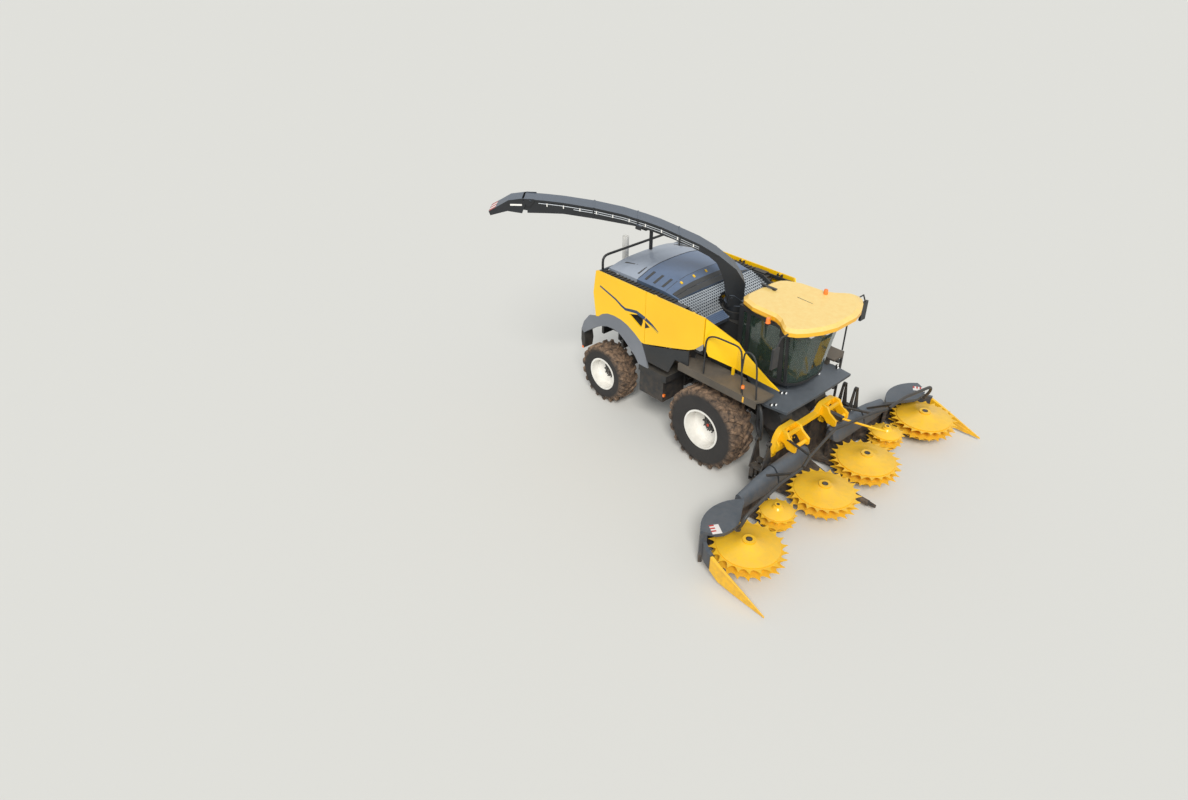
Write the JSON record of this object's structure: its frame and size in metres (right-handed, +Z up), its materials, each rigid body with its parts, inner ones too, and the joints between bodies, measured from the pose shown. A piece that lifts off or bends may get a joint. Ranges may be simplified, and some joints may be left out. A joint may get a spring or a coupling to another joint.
{
  "type": "self-propelled forage harvester",
  "caption": "Self-propelled forage harvester with a folding rotary maize header, a slewing discharge spout, a glazed cab, rear-wheel steering and opening side panels.",
  "frame": {"origin": "on the ground, below the centre of the whole machine's bounding box, with the spout parked as in the picture", "axes": "+X forward, +Y to the machine's left, +Z up"},
  "size_m": [7.6904, 7.58, 5.27],
  "materials": {
    "yellow_paint": "gloss",
    "pale_yellow_paint": "gloss",
    "white_paint": "gloss",
    "black_paint": "satin",
    "slate_plastic": "matte",
    "grey_plastic": "matte",
    "tyre_rubber": "matte",
    "stainless_mesh": "satin",
    "tinted_glass": "gloss",
    "seat_fabric": "matte",
    "engine_iron": "matte",
    "lamp_lens": "gloss",
    "pipe_steel": "satin",
    "deck_plate": "matte"
  },
  "bodies": {
    "machine": {"chassis_frame": "black_paint", "front_axle": "black_paint", "rear_axle": "black_paint", "engine_block": "engine_iron", "crop_duct": "black_paint", "hood": "slate_plastic", "cooling_grille": "stainless_mesh", "louvre_panels": "black_paint", "tail_screen": "slate_plastic", "rear_cowls": "yellow_paint", "front_cowls": "yellow_paint", "lower_panels": "black_paint", "rear_mudguards": "grey_plastic", "walkways": "deck_plate", "side_boxes": "slate_plastic", "handrails": "black_paint", "ladder": "black_paint", "cab_frame": "black_paint", "cab_glass": "tinted_glass", "cab_roof": "pale_yellow_paint", "cab_seat": "seat_fabric", "cab_mirrors": "black_paint", "lamps": "lamp_lens", "exhaust_pipe": "pipe_steel", "spout_rest": "black_paint", "front_platform": "slate_plastic"},
    "side_door_right": {"side_door_right": "yellow_paint"},
    "side_door_left": {"side_door_left": "yellow_paint"},
    "cab_door": {"cab_door": "black_paint", "cab_door_glass": "tinted_glass"},
    "turret": {"turret": "slate_plastic"},
    "spout": {"spout_duct": "slate_plastic"},
    "flap": {"spout_flap": "slate_plastic"},
    "header": {"feeder_housing": "black_paint", "drive_drums": "black_paint", "header_centre": "slate_plastic", "feed_frame": "yellow_paint", "push_bar_centre": "black_paint"},
    "wing_right": {"wing_frame_right": "slate_plastic", "wing_snouts_right": "yellow_paint"},
    "wing_left": {"wing_frame_left": "slate_plastic", "wing_snouts_left": "yellow_paint"},
    "rotor_inner_right": {"rotor_inner_right": "yellow_paint"},
    "rotor_inner_left": {"rotor_inner_left": "yellow_paint"},
    "rotor_small_right": {"rotor_small_right": "yellow_paint"},
    "rotor_small_left": {"rotor_small_left": "yellow_paint"},
    "rotor_outer_right": {"rotor_outer_right": "yellow_paint"},
    "rotor_outer_left": {"rotor_outer_left": "yellow_paint"},
    "front_wheel_right": {"front_tyre_right": "tyre_rubber", "front_rim_right": "white_paint"},
    "rear_wheel_right": {"rear_tyre_right": "tyre_rubber", "rear_rim_right": "white_paint"},
    "knuckle_right": {"knuckle_right": "black_paint"},
    "front_wheel_left": {"front_tyre_left": "tyre_rubber", "front_rim_left": "white_paint"},
    "rear_wheel_left": {"rear_tyre_left": "tyre_rubber", "rear_rim_left": "white_paint"},
    "knuckle_left": {"knuckle_left": "black_paint"}
  },
  "joints": [
    {"name": "front_wheel_right_spin", "type": "hinge", "parent": "machine", "child": "front_wheel_right", "pos_m": [0.22519, -1.125, 0.9], "axis": [0, 1, 0], "continuous": true},
    {"name": "front_wheel_left_spin", "type": "hinge", "parent": "machine", "child": "front_wheel_left", "pos_m": [0.22519, 1.125, 0.9], "axis": [0, 1, 0], "continuous": true},
    {"name": "steer_right", "type": "hinge", "parent": "machine", "child": "knuckle_right", "pos_m": [-2.97481, -0.57, 0.705], "axis": [0, 0, 1], "range_deg": [-35, 35]},
    {"name": "steer_left", "type": "hinge", "parent": "machine", "child": "knuckle_left", "pos_m": [-2.97481, 0.57, 0.705], "axis": [0, 0, 1], "range_deg": [-35, 35]},
    {"name": "rear_wheel_right_spin", "type": "hinge", "parent": "knuckle_right", "child": "rear_wheel_right", "pos_m": [-2.97481, -0.96, 0.705], "axis": [0, 1, 0], "continuous": true},
    {"name": "rear_wheel_left_spin", "type": "hinge", "parent": "knuckle_left", "child": "rear_wheel_left", "pos_m": [-2.97481, 0.96, 0.705], "axis": [0, 1, 0], "continuous": true},
    {"name": "spout_slew", "type": "hinge", "parent": "machine", "child": "turret", "pos_m": [-0.22481, 0, 3.1], "axis": [0, 0, 1], "range_deg": [-150, 60]},
    {"name": "spout_lift", "type": "hinge", "parent": "turret", "child": "spout", "pos_m": [-0.35916, -0.13435, 3.33], "axis": [-0.7071, 0.7071, 0], "range_deg": [-13, 12]},
    {"name": "flap_tilt", "type": "hinge", "parent": "spout", "child": "flap", "pos_m": [-3.22294, -2.99813, 5.23], "axis": [-0.7071, 0.7071, 0], "range_deg": [-30, 12]},
    {"name": "header_lift", "type": "hinge", "parent": "machine", "child": "header", "pos_m": [0.82519, 0, 1.33], "axis": [0, -1, 0], "range_deg": [0, 18]},
    {"name": "wing_fold_right", "type": "hinge", "parent": "header", "child": "wing_right", "pos_m": [1.82519, -1.46, 1.44], "axis": [1, 0, 0], "range_deg": [-90, 0]},
    {"name": "wing_fold_left", "type": "hinge", "parent": "header", "child": "wing_left", "pos_m": [1.82519, 1.46, 1.44], "axis": [-1, 0, 0], "range_deg": [-90, 0]},
    {"name": "rotor_inner_right_spin", "type": "hinge", "parent": "header", "child": "rotor_inner_right", "pos_m": [2.78519, -0.73, 0.45], "axis": [0, 0, 1], "continuous": true},
    {"name": "rotor_small_right_spin", "type": "hinge", "parent": "wing_right", "child": "rotor_small_right", "pos_m": [2.55519, -1.88, 0.45], "axis": [0, 0, 1], "continuous": true},
    {"name": "rotor_outer_right_spin", "type": "hinge", "parent": "wing_right", "child": "rotor_outer_right", "pos_m": [2.78519, -3.01, 0.45], "axis": [0, 0, 1], "continuous": true},
    {"name": "rotor_inner_left_spin", "type": "hinge", "parent": "header", "child": "rotor_inner_left", "pos_m": [2.78519, 0.73, 0.45], "axis": [0, 0, 1], "continuous": true},
    {"name": "rotor_small_left_spin", "type": "hinge", "parent": "wing_left", "child": "rotor_small_left", "pos_m": [2.55519, 1.88, 0.45], "axis": [0, 0, 1], "continuous": true},
    {"name": "rotor_outer_left_spin", "type": "hinge", "parent": "wing_left", "child": "rotor_outer_left", "pos_m": [2.78519, 3.01, 0.45], "axis": [0, 0, 1], "continuous": true},
    {"name": "side_door_right_lift", "type": "hinge", "parent": "machine", "child": "side_door_right", "pos_m": [-0.67481, -1.352, 3.338], "axis": [-1, 0, 0], "range_deg": [0, 75]},
    {"name": "side_door_left_lift", "type": "hinge", "parent": "machine", "child": "side_door_left", "pos_m": [-0.67481, 1.352, 3.338], "axis": [1, 0, 0], "range_deg": [0, 75]},
    {"name": "cab_door_swing", "type": "hinge", "parent": "machine", "child": "cab_door", "pos_m": [0.55019, 0.71, 2.8], "axis": [0, 0, 1], "range_deg": [0, 80]}
  ],
  "couplings": [
    {"joint": "steer_left", "follows": "steer_right", "ratio": 1}
  ]
}
